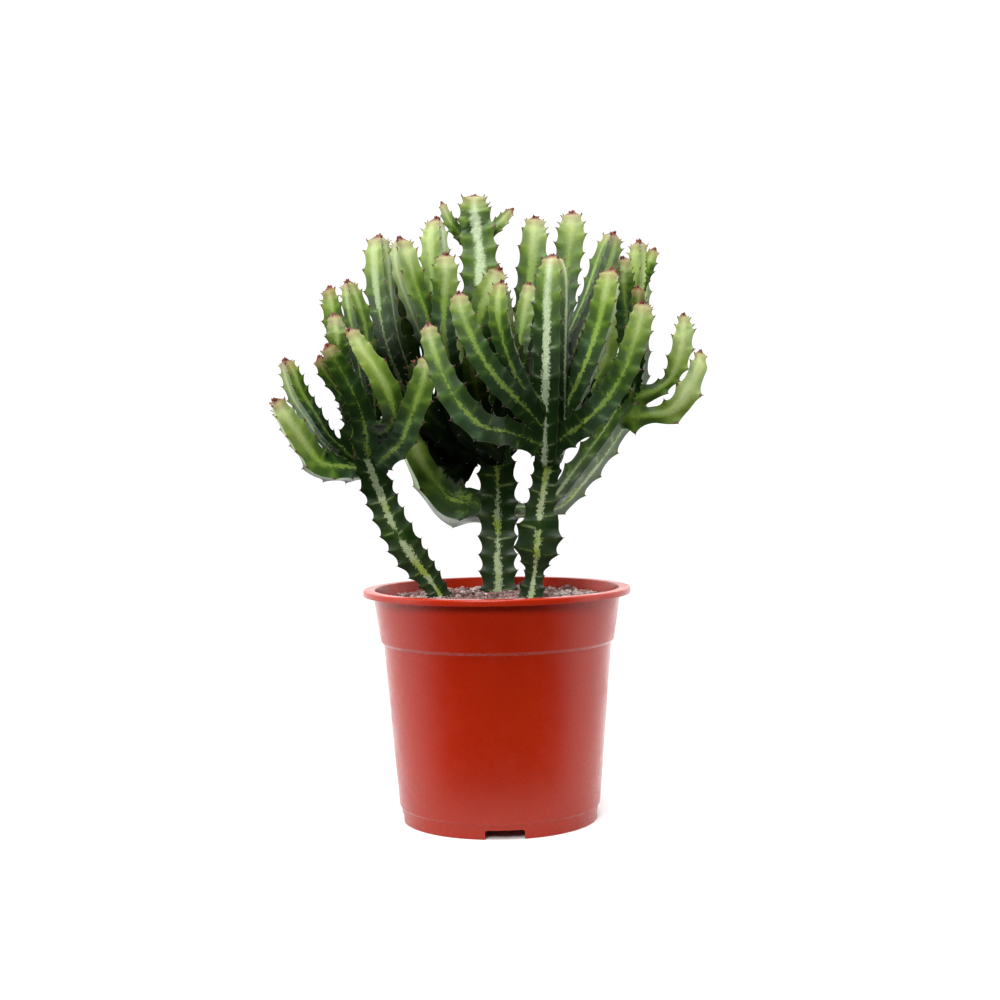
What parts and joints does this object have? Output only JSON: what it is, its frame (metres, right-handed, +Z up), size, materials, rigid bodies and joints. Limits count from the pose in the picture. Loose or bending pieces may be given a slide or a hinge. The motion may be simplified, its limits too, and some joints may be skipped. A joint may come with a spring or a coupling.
{
  "type": "potted euphorbia",
  "caption": "Potted candelabra euphorbia: upright branching stems with toothed ridges and pale stripes, rooted in gritty mix in a round terracotta-red plastic nursery pot with an outward rim.",
  "frame": {"origin": "bottom centre of the whole part's bounding box, on the surface the pot stands on; the pot's own axis lies a little to the left and in front of it", "axes": "+Z up along the pot's axis and the upright branches, the longest extent; -Y is the front, +X the right"},
  "size_m": [0.3152, 0.2256, 0.4515],
  "materials": {
    "pot_plastic": "gloss",
    "potting_mix": "matte",
    "lava": "matte",
    "euphorbia": "satin"
  },
  "bodies": {
    "root": {"pot": "pot_plastic", "potting_mix": "potting_mix", "plant_left": "euphorbia", "plant_middle": "euphorbia", "plant_right": "euphorbia", "lava_stone_01": "lava", "lava_stone_02": "lava", "lava_stone_03": "lava", "lava_stone_04": "lava", "lava_stone_05": "lava", "lava_stone_06": "lava", "lava_stone_07": "lava", "lava_stone_08": "lava", "lava_stone_09": "lava", "lava_stone_10": "lava", "lava_stone_11": "lava", "lava_stone_12": "lava", "lava_stone_13": "lava", "lava_stone_14": "lava", "lava_stone_15": "lava", "lava_stone_16": "lava", "lava_stone_17": "lava", "lava_stone_18": "lava", "lava_stone_19": "lava", "lava_stone_20": "lava", "lava_stone_21": "lava", "lava_stone_22": "lava", "lava_stone_23": "lava", "lava_stone_24": "lava", "lava_stone_25": "lava", "lava_stone_26": "lava", "lava_stone_27": "lava", "lava_stone_28": "lava", "lava_stone_29": "lava", "lava_stone_30": "lava"}
  },
  "joints": []
}
